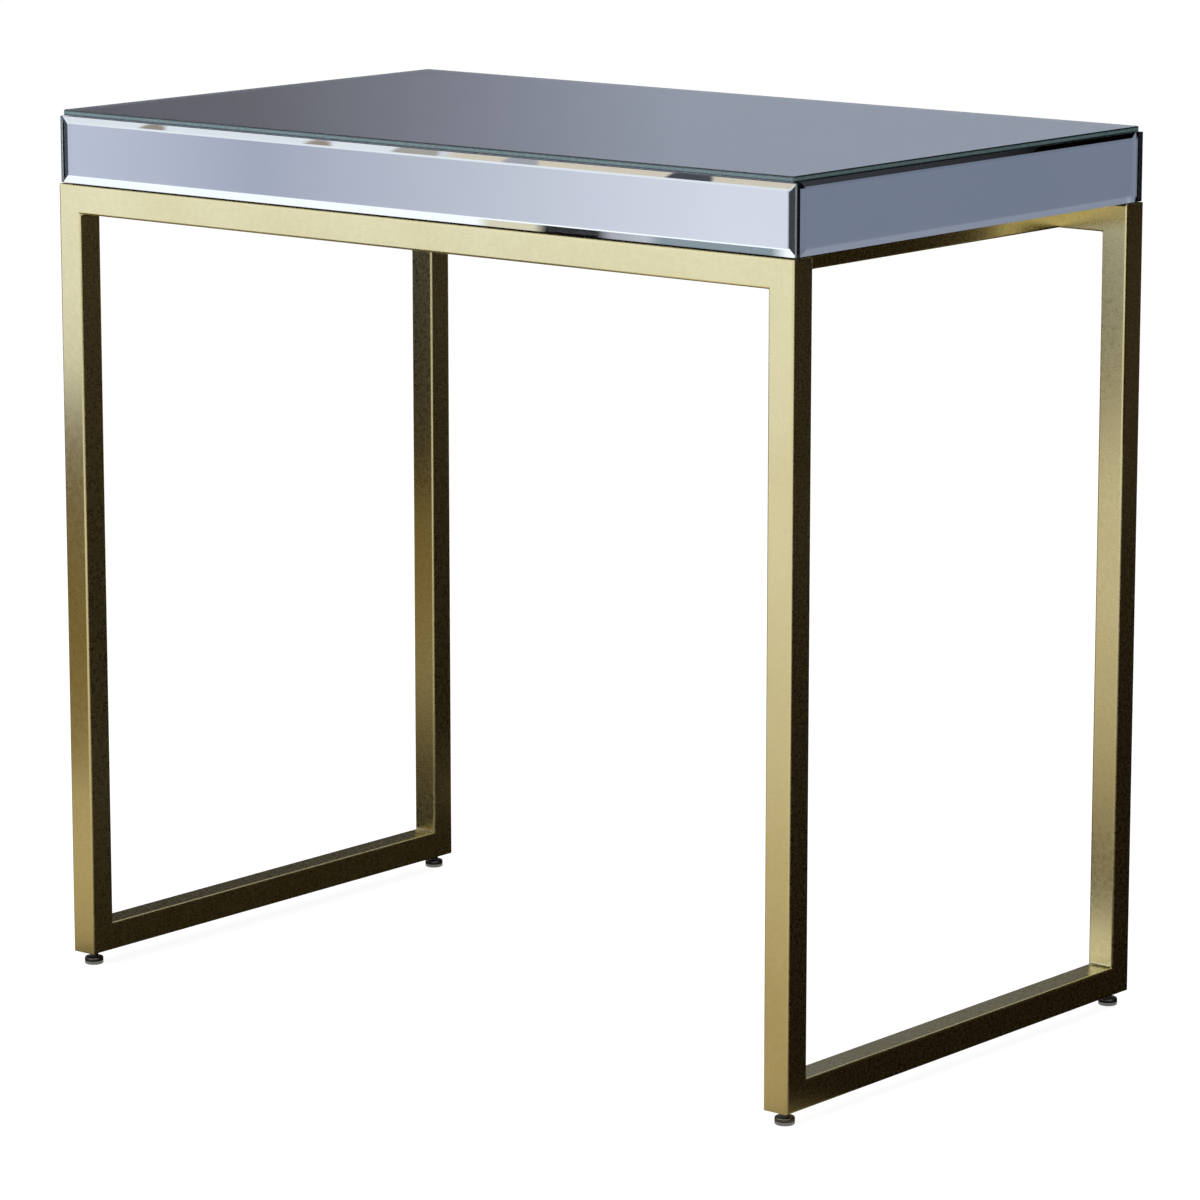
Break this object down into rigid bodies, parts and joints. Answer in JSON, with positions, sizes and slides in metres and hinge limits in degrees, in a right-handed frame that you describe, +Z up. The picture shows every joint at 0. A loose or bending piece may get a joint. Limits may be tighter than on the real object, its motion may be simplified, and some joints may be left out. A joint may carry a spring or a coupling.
{
  "type": "dressing table",
  "caption": "Dressing table: a shallow box clad in bevelled mirror with a push-to-open drawer, on a champagne-gold square-tube frame with levelling feet.",
  "frame": {"origin": "on the floor under the middle of the table", "axes": "+X to the right along the front, +Y to the back, +Z up; the drawer opens towards -Y"},
  "size_m": [0.8, 0.485, 0.762],
  "materials": {
    "champagne_gold": "satin champagne-gold lacquer over brushed steel",
    "mirror_glass": "silvered float glass, cool grey, polished bevels",
    "black_board": "fibreboard painted matt black",
    "drawer_board": "fibreboard, charcoal foil",
    "zinc_steel": "bright zinc plate",
    "ball_steel": "polished bearing steel",
    "screw_steel": "zinc plate",
    "foot_metal": "dark bronzed steel",
    "latch_plastic": "grey moulded nylon",
    "plunger_plastic": "pale moulded nylon"
  },
  "bodies": {
    "frame": {"bottom_rail_left": "champagne_gold", "bottom_rail_right": "champagne_gold", "carcass_back": "black_board", "carcass_base": "black_board", "carcass_side_left": "black_board", "carcass_side_right": "black_board", "carcass_top": "black_board", "corner_welds": "champagne_gold", "cross_rail_left": "champagne_gold", "cross_rail_right": "champagne_gold", "foot_inserts": "foot_metal", "frame_screws": "screw_steel", "latch_housing": "latch_plastic", "leg_back_left": "champagne_gold", "leg_back_right": "champagne_gold", "leg_front_left": "champagne_gold", "leg_front_right": "champagne_gold", "mirror_side_left": "mirror_glass", "mirror_side_right": "mirror_glass", "mirror_top": "mirror_glass", "runner_outer_left": "zinc_steel", "runner_outer_right": "zinc_steel", "runner_screws": "screw_steel", "top_rail_back": "champagne_gold", "top_rail_front": "champagne_gold"},
    "drawer": {"drawer_back": "drawer_board", "drawer_bottom": "drawer_board", "drawer_front_board": "drawer_board", "drawer_mirror": "mirror_glass", "drawer_side_left": "drawer_board", "drawer_side_right": "drawer_board", "latch_strike": "zinc_steel", "runner_inner_left": "zinc_steel", "runner_inner_right": "zinc_steel"},
    "cage_left": {"ball_cage_left": "zinc_steel", "runner_balls_left": "ball_steel"},
    "cage_right": {"ball_cage_right": "zinc_steel", "runner_balls_right": "ball_steel"},
    "plunger": {"latch_plunger": "plunger_plastic"},
    "pad_front_left": {"foot_pad_front_left": "foot_metal"},
    "stem_front_left": {"foot_stem_front_left": "foot_metal"},
    "pad_front_right": {"foot_pad_front_right": "foot_metal"},
    "stem_front_right": {"foot_stem_front_right": "foot_metal"},
    "pad_back_left": {"foot_pad_back_left": "foot_metal"},
    "stem_back_left": {"foot_stem_back_left": "foot_metal"},
    "pad_back_right": {"foot_pad_back_right": "foot_metal"},
    "stem_back_right": {"foot_stem_back_right": "foot_metal"}
  },
  "joints": [
    {"name": "drawer_slide", "type": "slide", "parent": "frame", "child": "drawer", "axis": [0, -1, 0], "range_m": [-0.003, 0.3]},
    {"name": "cage_left_slide", "type": "slide", "parent": "frame", "child": "cage_left", "axis": [0, -1, 0], "range_m": [-0.0015, 0.15]},
    {"name": "cage_right_slide", "type": "slide", "parent": "frame", "child": "cage_right", "axis": [0, -1, 0], "range_m": [-0.0015, 0.15]},
    {"name": "plunger_push", "type": "slide", "parent": "frame", "child": "plunger", "axis": [0, 1, 0], "range_m": [0, 0.003], "stiffness_N_per_m": 400},
    {"name": "foot_rise_front_left", "type": "slide", "parent": "frame", "child": "pad_front_left", "axis": [0, 0, 1], "range_m": [-0.008, 0.004]},
    {"name": "foot_turn_front_left", "type": "hinge", "parent": "pad_front_left", "child": "stem_front_left", "pos_m": [-0.3875, -0.23, 0], "axis": [0, 0, 1], "range_deg": [-2310, 1155]},
    {"name": "foot_rise_front_right", "type": "slide", "parent": "frame", "child": "pad_front_right", "axis": [0, 0, 1], "range_m": [-0.008, 0.004]},
    {"name": "foot_turn_front_right", "type": "hinge", "parent": "pad_front_right", "child": "stem_front_right", "pos_m": [0.3875, -0.23, 0], "axis": [0, 0, 1], "range_deg": [-2310, 1155]},
    {"name": "foot_rise_back_left", "type": "slide", "parent": "frame", "child": "pad_back_left", "axis": [0, 0, 1], "range_m": [-0.008, 0.004]},
    {"name": "foot_turn_back_left", "type": "hinge", "parent": "pad_back_left", "child": "stem_back_left", "pos_m": [-0.3875, 0.23, 0], "axis": [0, 0, 1], "range_deg": [-2310, 1155]},
    {"name": "foot_rise_back_right", "type": "slide", "parent": "frame", "child": "pad_back_right", "axis": [0, 0, 1], "range_m": [-0.008, 0.004]},
    {"name": "foot_turn_back_right", "type": "hinge", "parent": "pad_back_right", "child": "stem_back_right", "pos_m": [0.3875, 0.23, 0], "axis": [0, 0, 1], "range_deg": [-2310, 1155]}
  ],
  "couplings": [
    {"joint": "cage_left_slide", "follows": "drawer_slide", "ratio": 0.5},
    {"joint": "cage_right_slide", "follows": "drawer_slide", "ratio": 0.5},
    {"joint": "foot_turn_front_left", "follows": "foot_rise_front_left", "rad_per_m": 5026.5},
    {"joint": "foot_turn_front_right", "follows": "foot_rise_front_right", "rad_per_m": 5026.5},
    {"joint": "foot_turn_back_left", "follows": "foot_rise_back_left", "rad_per_m": 5026.5},
    {"joint": "foot_turn_back_right", "follows": "foot_rise_back_right", "rad_per_m": 5026.5}
  ]
}
